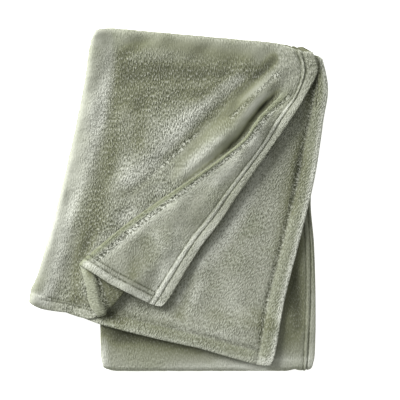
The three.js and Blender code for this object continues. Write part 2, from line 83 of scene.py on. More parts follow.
# The pleat that turns the front's corner back: its bends in the flat cloth, its crest and its hem.
pleat = {"topS": 538, "topV": 732, "lowBendS": 189, "highBendS": 345, "leastRadius": 2.6,
         "openRadius": 8, "closedRadius": 4.1, "openTo": 180, "closedFrom": 430,
         "hemRadius": 5.5, "hemSpan": 70, "fallSpan": 66, "topLift": 15, "endLift": 8, "liftSpan": 600}
ridgeRows = np.array([(0, -268, -172), (173, -129, -59), (417, 71, 79), (510, 145, 135), (560, 177, 163),
                      (590, 190, 182), (618, 203, 203), (643, 218, 222), (672, 238, 242), (700, 258, 263),
                      (732, 287, 297)], dtype=float)
flapHemRows = np.array([(0, -45, -300), (208, 61, -126), (300, 114, -57), (383, 157, 9), (552, 248, 138),
                        (648, 299, 212), (722, 337, 272), (785, 372, 343), (850, 358, 396)], dtype=float)

# Rounded places: s, v, reach in s, reach in v, share (1 upper layer, 0 lower, -1 both), dx, dy.
nudges = [
    (0, 772, 66, 66, -1, 10, -11),  # the side fold's top corner
    (0, 1686, 60, 60, -1, 9, 9), (660, 1686, 56, 56, -1, -9, 9), (600, 1686, 30, 30, -1, 0, 6),  # bottom fold
    (0, 0, 44, 44, -1, 5, 8), (0, 45, 50, 60, -1, -6, 0),  # the side fold's low corner
    (195, 0, 110, 110, 1, 0, 12), (240, 0, 58, 70, 1, -14, 2), (195, 0, 44, 46, 1, -1, 13),  # the tube's end
    (345, 0, 44, 48, 1, 1, -4), (450, 0, 300, 200, 1, -4.5, -8.5),  # the flap's short hem
    (460, 0, 200, 120, 0, 0, 5), (100, 0, 90, 110, 1, 0, 8), (90, 0, 150, 130, 0, 0, 14),  # short hem
    (592, 850, 90, 60, 1, 0, -9), (660, 850, 60, 70, 0, -2, 0),  # the long hems at the top fold
]

# Soft ridges and troughs, each a line of places: x, y, height, width.
upperRelief = [
    [(-160, 425, -1, 30), (-176, 300, -6, 32), (-186, 220, -6, 32), (-222, 0, -6, 32),
     (-262, -110, -6, 30), (-306, -240, -5, 30)],  # trough beside the lengthwise fold
    # trough under the top fold
    [(-150, 395, -2, 26), (-135, 350, -6, 34), (0, 352, -5, 34), (150, 345, -4, 30)],
    [(-112, 410, -2, 9), (-60, 432, -2, 9)],  # crease in the top fold
    [(172, 338, 3, 26), (57, 240, 6, 34), (-50, 168, 7, 36), (-120, 75, 6, 38)],  # low ridge
    # valley between the ridges
    [(250, 352, -2, 18), (199, 328, -4, 20), (103, 240, -5, 20), (-36, 106, -4, 24)],
    [(298, 357, 4, 22), (234, 304, 12, 26), (186, 247, 22, 31), (152, 195, 22, 31),
     (85, 135, 15, 29), (43, 98, 10, 26), (-1, 58, 6, 22), (-36, 31, 3, 22)],  # high ridge beside the flap
    [(4, -8, 4, 26), (-57, -88, 4, 26)],  # ridge along the flap
    [(-60, -150, -2, 24), (-112, -120, -4, 26), (-120, -190, -3, 26)],  # valley at the flap's low end
]
lowerRelief = [
    [(60, -110, -2, 22), (15, -260, -3, 22), (-2, -320, -2, 22)],  # left valley
    [(75, -150, 2, 26), (58, -180, 5, 26), (30, -300, 5, 26)],  # left ridge
    [(190, -60, 2, 40), (150, -250, 3, 40)],  # far ridge
]
# Painted light and shade on the pile, with some of its own brushed tone, line by line: x, y, change, width.
napAndShadingMain = [
    # the lengthwise fold and beside it
    [(-222, 440, 0.5, 20), (-232, 300, 0.3, 24), (-268, 120, 0.4, 26), (-330, -80, 0.8, 26),
     (-366, -205, 0.2, 22), (-372, -240, -0.5, 20)],
    [(-223, 272, 0.3, 13), (-228, 234, 0.6, 13), (-236, 186, 0.3, 13)],
    [(-178, 421, 0.3, 16), (-188, 352, 0.6, 16), (-200, 282, 1.5, 18), (-208, 218, 1.6, 18),
     (-222, 154, 1.0, 18), (-247, 74, 0.4, 16), (-279, -11, 0.8, 16), (-298, -75, 1.0, 16),
     (-322, -156, 1.0, 16), (-340, -220, 0.8, 16), (-359, -265, 1.2, 13)],
    [(-375, -260, 1.2, 16), (-354, -273, 1.0, 13)],
    [(-300, -140, 0.3, 13), (-311, -166, 0.5, 16), (-327, -214, 0.4, 16), (-348, -246, 0.4, 13)],
    [(-231, 427, -0.3, 16), (-220, 256, 0.0, 16), (-215, 218, 0.4, 19)],
    # the trough
    [(-167, 213, -0.2, 16), (-172, 146, -0.5, 19), (-178, 93, -0.6, 19), (-188, 47, -0.4, 19),
     (-202, -1, -0.4, 16), (-215, -59, -0.5, 16), (-247, -121, -0.8, 16), (-270, -190, -0.9, 18),
     (-276, -262, -0.9, 18)],
    [(-158, 380, -0.6, 16), (-160, 300, -0.6, 18), (-200, 150, -0.3, 20), (-212, 60, -0.5, 20),
     (-240, -60, -0.8, 20), (-262, -150, -0.5, 20)],
    [(-183, 133, -0.4, 37), (-188, 39, -0.4, 32), (-196, -41, -0.3, 32)],
    [(-204, -59, -0.4, 16), (-242, -126, -0.4, 16)],
    [(-300, -190, -0.3, 40), (-260, -90, -0.3, 40)],
    # the top fold and the band under it
    [(-105, 400, -0.4, 20), (-36, 415, -0.5, 30), (71, 394, -0.6, 28), (178, 373, -0.5, 22)],
    [(-120, 425, -0.2, 40), (250, 390, -0.2, 40)],
    [(-138, 394, -0.6, 16), (-113, 405, -0.4, 16)],
    [(-129, 405, -0.5, 16), (-89, 421, -0.4, 13)],
    [(-150, 395, -0.5, 18), (-140, 350, -1.0, 24), (-60, 348, -1.2, 22), (90, 338, -1.2, 21),
     (200, 345, -0.6, 18)],
    [(-140, 309, -1.0, 24), (-76, 304, -0.6, 21), (-9, 304, -0.5, 21), (57, 278, -1.1, 21),
     (90, 296, -1.1, 18), (121, 320, -0.6, 19)],
    [(-129, 328, -0.7, 13), (-23, 322, -0.5, 13), (63, 322, -0.7, 13)],
    [(-116, 333, -0.1, 32), (-36, 357, -0.3, 37), (97, 360, -0.4, 32), (191, 373, -0.3, 27)],
    [(260, 373, -0.8, 16), (239, 362, -0.6, 13)],
    # the hem's top corner
    [(284, 413, -0.9, 8), (306, 408, -1.3, 8), (324, 403, -1.3, 8), (343, 398, -0.9, 8)],
    [(303, 411, 0.5, 11), (322, 389, 0.8, 11), (335, 368, 0.6, 11)],
    # the middle
    [(-103, 266, -0.5, 27), (-97, 200, -0.6, 24), (-105, 144, -0.6, 19)],
    [(-150, 250, -0.4, 60), (-130, 160, -0.5, 50)],
    [(-146, 256, -0.5, 24), (-55, 266, -0.7, 37), (31, 266, -0.7, 32), (71, 288, -0.3, 24)],
    [(-151, -51, 0.9, 19), (-124, -33, 0.6, 16)],
    [(-140, 98, 0.5, 20), (-132, 62, 0.5, 24), (-172, 34, 0.2, 20)],
    [(-150, 14, -0.6, 11), (-112, 26, -0.7, 12), (-90, 44, -0.5, 12)],
    # the low ridge
    [(73, 256, 0.5, 16), (31, 210, 0.9, 19), (-9, 165, 0.9, 19), (-55, 119, 1.0, 19), (-89, 85, 0.8, 19),
     (-135, 50, 0.7, 19)],
    [(160, 322, 0.7, 15), (118, 300, 0.5, 13), (50, 245, 0.4, 20), (-30, 182, 0.6, 26), (-62, 160, 0.3, 20)],
    # the valley
    [(250, 376, -0.8, 16), (223, 341, -1.3, 16), (191, 304, -1.3, 16), (159, 269, -1.6, 16),
     (138, 238, -1.4, 15), (89, 192, -0.8, 15), (57, 157, -0.8, 15), (25, 125, -0.7, 14),
     (-7, 90, -0.4, 12)],
    [(250, 352, -0.5, 9), (199, 328, -0.6, 10), (103, 240, -0.9, 10), (30, 168, -0.9, 12),
     (-36, 106, -0.5, 14)],
    [(172, 192, -0.4, 8), (143, 154, -0.5, 8), (97, 119, -0.4, 8)],
    # the high ridge: light side, then dark side
    [(231, 301, 0.3, 9), (198, 271, 0.2, 9), (143, 210, 0.5, 6), (116, 173, 0.4, 10), (81, 139, 0.6, 11),
     (41, 102, 0.5, 11), (0, 58, 0.0, 11)],
    [(239, 304, 0.4, 11), (164, 266, 0.4, 11)],
    [(116, 160, 0.4, 11), (71, 119, 0.4, 11), (31, 90, 0.7, 13), (-9, 58, 0.4, 13), (-49, 26, 0.7, 16)],
    [(250, 306, -0.5, 11), (212, 282, -0.9, 11), (191, 264, -1.3, 10), (162, 234, -1.3, 10),
     (135, 201, -1.4, 10), (105, 176, -0.5, 11), (71, 149, -0.1, 13), (31, 106, -0.2, 13),
     (-7, 63, -0.9, 11), (-33, 37, -0.4, 11)],
    # the slit before the crest: painted deep shade
    [(275, 294, -0.5, 4), (249, 273, -1.3, 5), (226, 251, -2.0, 6), (208, 228, -2.2, 6), (192, 208, -2.2, 6),
     (178, 185, -2.1, 6), (166, 170, -2.0, 5), (135, 138, -2.0, 5), (100, 110, -1.6, 4), (57, 78, -1.2, 4),
     (11, 45, -0.9, 4)],
    [(234, 285, 0.5, 8), (211, 263, 1.0, 8), (193, 240, 1.0, 8), (178, 220, 0.3, 8)],
    [(295, 314, -0.8, 13), (274, 288, -1.3, 13), (250, 264, -1.2, 13), (223, 240, -0.7, 11)],
    # over the short hem
    [(-276, -265, -0.6, 11), (-231, -273, -0.8, 11)],
]
napAndShadingBehind = [
    # shade of the front
    [(-196, -352, -1.2, 26), (-76, -374, -1.1, 24), (57, -402, -0.6, 20), (190, -440, -0.1, 16)],
    [(-160, -374, -0.6, 22), (-130, -369, -0.4, 21)],
    [(292, -380, -0.6, 18), (303, -250, -0.9, 20), (322, -110, -0.9, 16)],
    # left edge
    [(-198, -370, 0.8, 10), (-200, -430, 0.8, 10)],
    [(-199, -407, 0.6, 13), (-199, -439, 0.5, 13)],
    # long hem
    [(316, -166, 0.1, 13), (314, -220, -0.5, 13), (316, -281, -0.8, 16), (316, -342, -0.8, 16),
     (322, -380, -0.4, 13)],
    [(327, -204, -0.5, 13), (327, -337, -0.6, 13)],
    [(359, -241, 0.3, 8), (359, -374, 0.6, 8), (354, -439, 1.3, 13)],
    # bottom fold
    [(-194, -439, 0.7, 13), (-76, -447, 0.5, 13), (84, -444, 1.1, 13), (191, -444, 1.1, 16),
     (271, -433, 1.3, 19), (340, -433, 0.9, 13)],
    [(73, -412, 0.3, 11), (105, -425, 0.8, 11), (170, -439, 1.0, 11), (223, -449, 1.3, 13)],
]
napAndShadingFlap = [
    # beside the crest, and the flap's root
    [(196, 168, 0.3, 12), (150, 118, 0.3, 13), (116, 85, 0.3, 14), (71, 50, 0.4, 15), (9, 7, 0.5, 15),
     (-49, -33, 0.5, 18), (-103, -70, 0.7, 18), (-156, -107, 0.9, 18), (-202, -150, 0.5, 18),
     (-212, -177, 0.2, 13)],
    [(212, 144, 0.4, 11), (178, 114, 0.5, 11), (138, 74, 0.6, 11), (97, 39, 0.3, 11)],
    [(303, 325, -0.7, 13), (274, 288, -0.9, 13), (244, 250, -0.6, 13), (212, 218, -0.3, 11)],
    # along the hems
    [(204, 160, 0.7, 16), (180, 93, 0.0, 16), (124, -1, -0.3, 19), (71, -59, -0.2, 19), (9, -115, 0.4, 22),
     (-36, -188, 0.9, 21), (-55, -246, 0.9, 16)],
    [(236, 226, 0.6, 13), (212, 186, 1.0, 15), (190, 150, 0.6, 14)],
    [(89, -86, 0.4, 11), (52, -134, 0.5, 11)],
    [(-151, -246, 0.5, 8), (-121, -257, 0.9, 11), (-81, -270, 0.7, 8), (-33, -289, 0.5, 8)],
    [(-218, -172, 0.2, 14), (-200, -195, 0.2, 12)],
    [(-188, -289, 0.7, 11), (-178, -305, 0.8, 11)],
    # the middle
    [(150, 110, 0.3, 20), (60, 0, 0.3, 24)],
    [(58, 15, -0.4, 20), (50, -60, -0.3, 20)],
    [(-1, -75, 0.4, 16), (-7, -107, 0.4, 16)],
    [(-88, -110, -0.5, 16), (-84, -170, -0.5, 16)],
    [(-62, -92, 0.5, 15), (-40, -130, 0.4, 15)],
    [(-116, -166, -0.7, 20), (-120, -200, -1.0, 20)],
]
napAndShadingLower = [
    # ridges and valleys
    [(62, -110, -0.7, 16), (20, -250, -0.6, 15), (0, -310, -0.5, 15)],
    [(58, -168, 0.6, 13), (34, -270, 0.6, 13)],
    [(300, -40, 0.3, 22), (230, -300, 0.3, 26)],
    [(65, -225, 0.5, 16), (47, -268, 0.3, 13)],
    [(143, -236, 0.3, 32), (148, -321, 0.5, 27)],
    # beside the flap: mostly painted light over the flap's shadow
    [(234, 106, 0.6, 16), (196, 26, 0.9, 19), (164, -38, 1.0, 19), (127, -102, 1.0, 19), (84, -166, 0.5, 17),
     (31, -246, 0.2, 15)],
    [(180, 10, 0.4, 11), (140, -57, 0.9, 11), (100, -107, 1.1, 12), (63, -150, 1.2, 13), (33, -193, 1.1, 13),
     (15, -236, 1.3, 13), (-1, -268, 1.2, 11)],
    [(25, -268, -0.2, 16), (39, -228, -0.5, 16), (57, -193, -0.4, 16)],
    [(-1, -310, -0.4, 11), (15, -316, -0.4, 11)],
    # along the long hem
    [(324, 165, -0.6, 16), (314, 106, -0.8, 21), (292, 39, -0.7, 21), (282, -33, -0.7, 19),
     (266, -107, -0.6, 16), (252, -166, -0.3, 16)],
    [(330, 133, -0.6, 13), (316, 66, -0.7, 13), (303, -33, -0.7, 13)],
    [(330, 85, -0.4, 19), (319, 42, -0.4, 19)],
    [(364, 74, 0.6, 11), (362, 26, 0.6, 11)],
    [(370, 368, -1.0, 16), (362, 306, -1.3, 18), (356, 266, -1.1, 16)],
    [(282, 176, 0.5, 21), (319, 192, 0.3, 16)],
    [(372, 370, 0.7, 13), (383, 357, 0.4, 11)],
    # along the short hem
    [(-1, -345, 0.4, 16), (31, -353, 0.7, 16), (116, -366, 0.8, 16), (178, -388, 0.4, 16),
     (223, -425, 1.0, 16), (271, -444, 0.9, 13)],
    [(207, -300, -0.8, 19), (260, -342, -0.7, 16), (95, -308, -0.6, 21)],
    [(-178, -310, -0.6, 13), (-143, -321, -0.5, 13)],
    [(-178, -316, -0.9, 19), (-156, -337, -0.7, 16)],
    [(-236, -188, -1.6, 8), (-226, -204, -0.8, 8)],
]
# Where the pile lies smooth: x, y, share, width.
smoothPile = [
    # over the top fold
    [(-190, 425, 0.8, 34), (-30, 418, 0.85, 34), (160, 395, 0.85, 34), (300, 375, 0.8, 30)],
    [(245, 320, 0.8, 22), (178, 280, 0.8, 24), (124, 226, 0.75, 24), (71, 173, 0.7, 24),
     (17, 119, 0.6, 20), (-17, 63, 0.5, 14)],  # light side of the high ridge
    [(223, 280, 0.6, 20), (178, 218, 0.7, 22), (132, 165, 0.7, 20), (71, 111, 0.6, 18),
     (17, 66, 0.4, 14)],  # dark side of the high ridge
    [(274, 296, 0.8, 13), (226, 253, 1.0, 16), (191, 210, 1.0, 16), (162, 170, 0.9, 13),
     (97, 114, 0.7, 11), (12, 50, 0.5, 8)],  # the slit
]
# Where it breaks into crumbs: x, y, share, width.
crumbled = [
    [(57, 181, 0.3, 7), (31, 160, 0.7, 8), (4, 133, 0.8, 9), (-23, 106, 0.7, 9),
     (-50, 85, 0.4, 8)],  # between the ridges
    [(-60, 75, 0.5, 9), (-132, 15, 0.4, 12)],  # its low end
    [(274, 341, 0.3, 8), (239, 309, 0.5, 7), (204, 277, 0.4, 7), (172, 245, 0.5, 7),
     (143, 218, 0.5, 8)],  # on the high ridge
    [(255, 330, 0.3, 6), (272, 330, 0.9, 7)],  # its upper end
]
reliefFloor = {"least": -2.2, "softness": 2.0}
unevenness = {"height": 0.7, "shortest": 34, "longest": 120, "seed": 3, "lowerShare": 0.5}
pairLoft = {"height": 4, "from": 20, "span": 90, "hemFrom": 100, "hemSpan": 90, "hemShare": 0.8, "upTo": 500}


def lerp(a, b, t):
    return a + (b - a) * t


def ease(x):
    t = np.clip(x, 0, 1)
    return t * t * (3 - 2 * t)


def bump(distance, span):
    return np.exp(-((distance / span) ** 2))


def readTable(rows, at, column):
    # smooth curve through one column of a table, straight on past its ends
    keys, values = rows[:, 0], rows[:, column]
    last = len(keys) - 1
    low = np.maximum(np.arange(last + 1) - 1, 0)
    high = np.minimum(np.arange(last + 1) + 1, last)
    slopes = (values[high] - values[low]) / (keys[high] - keys[low])
    i = np.clip(np.searchsorted(keys, at) - 1, 0, last - 1)
    span = keys[i + 1] - keys[i]
    t = (at - keys[i]) / span
    u = np.clip(t, 0, 1)
    inside = (values[i] * (2 * u ** 3 - 3 * u ** 2 + 1) + values[i + 1] * (3 * u ** 2 - 2 * u ** 3)
              + slopes[i] * span * (u ** 3 - 2 * u ** 2 + u) + slopes[i + 1] * span * (u ** 3 - u ** 2))
    past = np.where(t < 0, slopes[i] * span * t, np.where(t > 1, slopes[i + 1] * span * (t - 1), 0))
    return inside + past


def topFoldV(s):
    return throwSizes["topFoldAt"] + throwSizes["topFoldSkew"] * s


def outlinePlace(rows, part, s):
    across = s / widthB
    return (lerp(readTable(rows, part, 1), readTable(rows, part, 3), across),
            lerp(readTable(rows, part, 2), readTable(rows, part, 4), across))


def reachFromFold(length, reach):
    # how far a place lies from a fold's crest, seen from above
    radius = reach * bendRound
    quarter = radius * math.pi / 2
    far = np.abs(length)
    return np.where(far > quarter, reach + far - quarter, reach * (1 - np.cos(far / radius)))


def upperShare(length, reach):
    turned = np.clip(length / (reach * bendRound), -math.pi / 2, math.pi / 2)
    return 0.5 - 0.5 * np.sin(turned)


def underShare(y):
    return 1 - ease((y - throwSizes["underEdgeY"]) / throwSizes["underRampSpan"])


def relief(lines, x, y):
    total = np.zeros_like(x)
    for line in lines:
        nearest = np.full_like(x, 1e9)
        height = np.zeros_like(x)
        for (x0, y0, h0, w0), (x1, y1, h1, w1) in zip(line, line[1:]):
            dx, dy = x1 - x0, y1 - y0
            part = np.clip(((x - x0) * dx + (y - y0) * dy) / (dx * dx + dy * dy), 0, 1)
            away = np.hypot(x - x0 - part * dx, y - y0 - part * dy)
            here = lerp(h0, h1, part) * bump(away, lerp(w0, w1, part))
            height = np.where(away < nearest, here, height)
            nearest = np.minimum(away, nearest)
        total += height
    return total


def waves(x, y, seed, shortest, longest, count=26):
    # smooth uneven field, about 1 high, the same on every run
    dice = np.random.default_rng(seed)
    total = np.zeros_like(x)
    for _ in range(count):
        angle, phase = dice.uniform(0, 2 * math.pi, 2)
        length = math.exp(dice.uniform(math.log(shortest), math.log(longest)))
        total += np.sin(2 * math.pi * (x * math.cos(angle) + y * math.sin(angle)) / length + phase) * length
    return total / (longest * math.sqrt(count) * 0.35)


def settle(height):
    # never much lower than the layer under it
    over = height - reliefFloor["least"]
    return reliefFloor["least"] + (over + np.hypot(over, reliefFloor["softness"])) / 2


def backHeights(y, s):
    low = throwSizes["thickness"] / 2 + underShare(y) * 2 * throwSizes["pairPitch"]
    opening = (2 * sideFold["backRadius"] - throwSizes["pairPitch"]) * bump(s, sideFold["openSpan"] / 2)
    closing = throwSizes["pairPitch"] - throwSizes["leastPitch"]
    sag = closing * ease((s - widthA - sideFold["backRadius"]) / throwSizes["hemDropSpan"])
    return low, low + throwSizes["pairPitch"] + opening - sag


def frontBase(x, y):
    # height of the front's lower layer: on the back half, and down to the floor beside it
    part = np.clip((backRows[0, 2] - y) / (backRows[0, 2] - backRows[-1, 2]), 0, 1)
    leftEdge = readTable(backRows, part, 1)
    rightEdge = readTable(backRows, part, 3)
    offLeft = ease((leftEdge - throwSizes["dropFrom"] - x) / throwSizes["dropSpan"])
    offRight = throwSizes["sagShare"] * ease((x - rightEdge) / throwSizes["sagSpan"])
    stack = throwSizes["pairPitch"] + throwSizes["stackPitch"] + underShare(y) * 2 * throwSizes["pairPitch"]
    return throwSizes["thickness"] / 2 + stack * (1 - offLeft) * (1 - offRight)


def pleatSection(v):
    opened = np.clip((pleat["topV"] - v) / pleat["topV"], 0, 1)
    low = lerp(pleat["topS"], pleat["lowBendS"], opened)
    high = lerp(pleat["topS"], pleat["highBendS"], opened)
    middle = high - low
    tight = ease((opened * pleat["topV"] - pleat["openTo"]) / (pleat["closedFrom"] - pleat["openTo"]))
    body = lerp(pleat["openRadius"], pleat["closedRadius"], tight)
    radius = lerp(body, pleat["hemRadius"], bump(v, pleat["hemSpan"]))
    radius = np.minimum(radius, np.maximum(middle / math.pi, pleat["leastRadius"]))
    turn = np.minimum(math.pi, middle / radius)
    run = middle - radius * turn
    return {"low": low, "high": high, "radius": radius, "turn": turn, "run": run,
            "start": low - radius * turn / 2}


def sectionPoint(section, s):
    # place across the pleat: flat, a turn, a straight run back, a turn, flat again
    radius, turn, run = section["radius"], section["turn"], section["run"]
    arc = radius * turn
    length = s - section["start"]
    first = np.clip(length, 0, arc) / radius
    straight = np.clip(length - arc, 0, run)
    second = turn - np.clip(length - arc - run, 0, arc) / radius
    x = (np.minimum(length, 0) + radius * np.sin(first) + straight * np.cos(turn)
         + radius * (np.sin(turn) - np.sin(second)) + np.maximum(length - 2 * arc - run, 0))
    z = radius * (1 - np.cos(first)) + straight * np.sin(turn) + radius * (np.cos(second) - np.cos(turn))
    return x, z


def upperFront(s, v, part):
    section = pleatSection(v)
    radius, turn, run, start = section["radius"], section["turn"], section["run"], section["start"]
    quarter = math.pi / 2
    hereX, hereZ = sectionPoint(section, s)
    lowAt = start + radius * np.minimum(turn, quarter)
    highAt = start + radius * turn + run + radius * np.maximum(turn - quarter, 0)
    lowX = sectionPoint(section, lowAt)[0]
    highX = sectionPoint(section, highAt)[0]
    flatX, flatY = outlinePlace(frontRows, part, start + hereX)
    bendX, bendY = outlinePlace(frontRows, part, start + lowX)
    folded = np.where(turn > quarter, 1 - np.sin(turn), 0)
    crestX = lerp(bendX, readTable(ridgeRows, v, 1), folded)
    crestY = lerp(bendY, readTable(ridgeRows, v, 2), folded)
    back = (lowX - hereX) / np.maximum(lowX - highX, 1e-6)
    out = (hereX - highX) / (sectionPoint(section, widthA + 0 * s)[0] - highX)
    flapX = lerp(crestX, readTable(flapHemRows, v, 1), out)
    flapY = lerp(crestY, readTable(flapHemRows, v, 2), out)
    rise = 2 * radius * (1 - np.cos(turn)) + run * np.sin(turn)
    settled = ease((hereX - lowX) / pleat["fallSpan"])
    kept = lerp(pleat["endLift"], pleat["topLift"], ease(v / pleat["liftSpan"]))
    lift = np.where(s > highAt, hereZ - np.maximum(rise - kept, 0) * settled, hereZ)
    x = np.where(s <= lowAt, flatX, np.where(s <= highAt, lerp(bendX, crestX, back), flapX))
    y = np.where(s <= lowAt, flatY, np.where(s <= highAt, lerp(bendY, crestY, back), flapY))
    return x, y, lift


def behind(v):
    return ease((v - throwSizes["topFoldAt"] - hemForm["behindFrom"]) / hemForm["behindSpan"])


def longRows(v):
    # distance of the two sewn rows from a long hem's edge
    nearTop = bump(v - hemForm["topAt"], hemForm["topSpan"])
    lowDown = ease((v - hemForm["lowFrom"]) / hemForm["lowSpan"])
    kinds = (hemForm[name] for name in ("rowsFront", "rowsTop", "rowsBehind", "rowsBehindLow"))
    return [lerp(lerp(front, top, nearTop), lerp(back, low, lowDown), behind(v)) for front, top, back, low in
            zip(*kinds)]


def fromLongHem(u):
    return np.where(u > 0, widthA - u, widthB + u)


def hemProfiles(u, v):
    # half thickness of the outer and the inner face, and how near a place is to a sewn row
    fromLong = fromLongHem(u)
    fromShort = np.minimum(v, alongAll - v)
    rowsLong = longRows(v)
    toRight = ease((u - hemForm["leftTo"]) / hemForm["leftSpan"])
    rowsShort = [lerp(*pair, toRight) for pair in zip(hemForm["rowsShortLeft"], hemForm["rowsShort"])]
    seam = np.zeros_like(u)
    softSeam = np.zeros_like(u)
    pastRow = hemForm["bandPast"]
    band = np.maximum(ease((rowsLong[1] + pastRow - fromLong) / hemForm["bandSpan"]),
                      ease((rowsShort[1] + pastRow - fromShort) / hemForm["bandSpan"]))
    folded = (throwSizes["hemThickness"] - throwSizes["thickness"]) / 2 * band
    shownShort = (ease((fromLong - rowsLong[1] + hemForm["stopBefore"]) / hemForm["stopSpan"])
                  * ease((np.abs(u) - hemForm["foldClear"]) / hemForm["foldClearSpan"]))
    reach = hemForm["tubeReach"]
    swells = []
    for away, (rowOut, rowIn), shown in ((fromLong, rowsLong, 1.0), (fromShort, rowsShort, shownShort)):
        near = bump(away - rowOut, hemForm["grooveWidth"]) + bump(away - rowIn, hemForm["grooveWidth"])
        nearSoft = bump(away - rowIn - hemForm["softInset"], hemForm["softWidth"])
        seam = np.maximum(seam, near * shown)
        softSeam = np.maximum(softSeam, nearSoft * shown)
        roll = np.sqrt(np.clip(1 - (away / rowOut * 2 - 1) ** 2, 0, 1)) * hemForm["rollSwell"]
        ridge = bump(away - (rowOut + rowIn) / 2, (rowIn - rowOut) * hemForm["ridgeShare"])
        share = np.clip(away / rowIn * reach, 0, reach)
        tube = np.where(share < 1, np.sqrt(np.clip(1 - (share - 1) ** 2, 0, 1)),
                        0.5 + 0.5 * np.cos(math.pi * (share - 1) / (reach - 1)))
        fuller = 1 + hemForm["tubeFull"] * bump(u - hemForm["tubeFullAt"], hemForm["tubeFullSpan"])
        swells.append((np.maximum(roll, ridge * hemForm["ridgeSwell"]), tube * hemForm["tubeSwell"] * fuller))
    plain = throwSizes["thickness"] / 2 + folded
    outer = plain + np.maximum(swells[0][0], swells[1][0]) - hemForm["grooveDepth"] * seam
    inner = plain + np.maximum(swells[0][1], swells[1][1]) - hemForm["softDepth"] * softSeam
    return {"outer": outer, "inner": inner, "folded": folded, "band": band,
            "seam": seam, "softSeam": softSeam}


def sheetPlace(uFlat, vFlat):
    # middle of the sheet; u above 0 is the upper layer of the front, below 0 the lower one
    corner = throwSizes["hemCorner"]
    fromHem = np.where(uFlat > 0, widthA - uFlat, widthB + uFlat)
    fromEnd = np.minimum(vFlat, alongAll - vFlat)
    near = np.maximum(1 - fromHem / (2 * corner), 0) * np.maximum(1 - fromEnd / (2 * corner), 0)
    pull = corner * (1 - math.sqrt(0.5)) * near * near
    u = uFlat - np.sign(uFlat) * pull
    v = vFlat + np.where(vFlat < alongAll / 2, pull, -pull)

    onBack = ease((v - topFoldV(0)) / sideFold["changeSpan"] + 0.5)
    radius = lerp(sideFold["frontRadius"], sideFold["backRadius"], onBack)
    turned = np.clip(u / radius, -math.pi / 2, math.pi / 2)
    shareA = 0.5 + 0.5 * np.sin(turned)
    far = np.abs(u)
    halfTurn = radius * math.pi / 2
    s = np.where(far < halfTurn, radius * (1 - np.cos(turned)), radius + far - halfTurn)
    s = s * widthB / (widthB + radius - halfTurn)

    fromTop = v - topFoldV(s)
    fromBottom = v - bottomFoldV
    topReach = lerp(topFold["reachB"], topFold["reachA"], shareA)
    topInset = lerp(topFold["insetB"] + topFold["insetHemB"] * (s / widthB) ** 4, 0, shareA)
    topGap = topInset + reachFromFold(fromTop, topReach)
    bottomReach = lerp(bottomFold["reachB"], bottomFold["reachA"], shareA)
    bottomGap = lerp(0, bottomFold["insetA"], shareA) + reachFromFold(fromBottom, bottomReach)

    length = topFoldV(s)
    part = 1 - topGap / (topInset + reachFromFold(length, topReach))
    frontX, frontY = outlinePlace(frontRows, part, s)
    upX, upY, lift = upperFront(s, length - topGap, part)
    isUpper = shareA > 0.999
    frontX, frontY = np.where(isUpper, upX, frontX), np.where(isUpper, upY, frontY)
    lift = np.where(isUpper & (fromTop < 0), lift, 0)
    backPart = lerp(topGap / throwSizes["backLength"], 1 - bottomGap / throwSizes["backLength"],
                    ease(fromTop / throwSizes["backLength"]))
    backX, backY = outlinePlace(backRows, backPart, s)
    underX, underY = outlinePlace(underRows, bottomGap / throwSizes["underLength"], s)
    x = np.where(fromTop < 0, frontX, np.where(fromBottom < 0, backX, underX))
    y = np.where(fromTop < 0, frontY, np.where(fromBottom < 0, backY, underY))
    for atS, atV, reachS, reachV, share, dx, dy in nudges:
        skew = topFoldV(s) - topFoldV(atS) if 0 < atV < bottomFoldV else 0
        nearS = np.maximum(1 - np.abs(s - atS) / reachS, 0)
        nearV = np.maximum(1 - np.abs(v - skew - atV) / reachV, 0)
        layer = 1 if share < 0 else 1 - np.abs(share - shareA)
        near = nearS ** 2 * nearV ** 2 * layer
        x = x + dx * near
        y = y + dy * near

    backA, backB = backHeights(y, s)
    backZ = lerp(backB, backA, shareA)
    opening = (2 * sideFold["frontRadius"] - throwSizes["pairPitch"]) * bump(s, sideFold["openSpan"])
    nearHem = ease((s - widthA + pairLoft["hemFrom"]) / pairLoft["hemSpan"]) * ease(1 - v / pairLoft["upTo"])
    loft = pairLoft["height"] * ease((s - pairLoft["from"]) / pairLoft["span"])
    loft = loft * (1 - pairLoft["hemShare"] * nearHem)
    uneven = waves(x, y, unevenness["seed"], unevenness["shortest"], unevenness["longest"])
    uneven = unevenness["height"] * uneven
    fromHems = np.minimum(widthB - s, np.maximum(v, 0))
    curl = throwSizes["hemCurl"] * ease(1 - fromHems / throwSizes["hemCurlSpan"]) * (1 - shareA)
    lower = frontBase(x, y) + relief(lowerRelief, x, y) + unevenness["lowerShare"] * settle(uneven) + curl
    upper = (lower + throwSizes["pairPitch"] + opening + settle(loft + uneven + relief(upperRelief, x, y))
             + topFold["swellA"] * bump(topGap, topFold["swellSpan"]) + lift)
    frontZ = lerp(lower, upper, shareA)
    foot = throwSizes["thickness"] / 2
    underZ = lerp(foot, foot + throwSizes["pairPitch"], shareA)
    overTop = upperShare(fromTop, topReach)
    overBottom = upperShare(fromBottom, bottomReach)
    atBottom = fromBottom > -bottomFold["turnFrom"]
    z = np.where(atBottom, lerp(underZ, backZ, overBottom), lerp(backZ, frontZ, overTop))
    return np.stack([x, y, z + hemProfiles(u, v)["folded"]], axis=-1)


# Lines of the sheet's grid: how many steps each stretch takes, closer where it bends.
gridLines = {"lower": 35, "lowerFold": 32, "sideTurn": 12, "upper": 60, "turn": 8, "run": 5, "flap": 20,
             "front": 62, "frontTop": 75, "topTurn": 14, "back": 30, "backEnd": 11, "bottomTurn": 10,
             "under": 3, "lowerFoldSpan": 260, "frontTopFrom": 415, "backEndSpan": 210,
             "topTurnHalf": 23, "bottomTurnHalf": 18, "crowding": 1.4, "pleatLeast": 26}


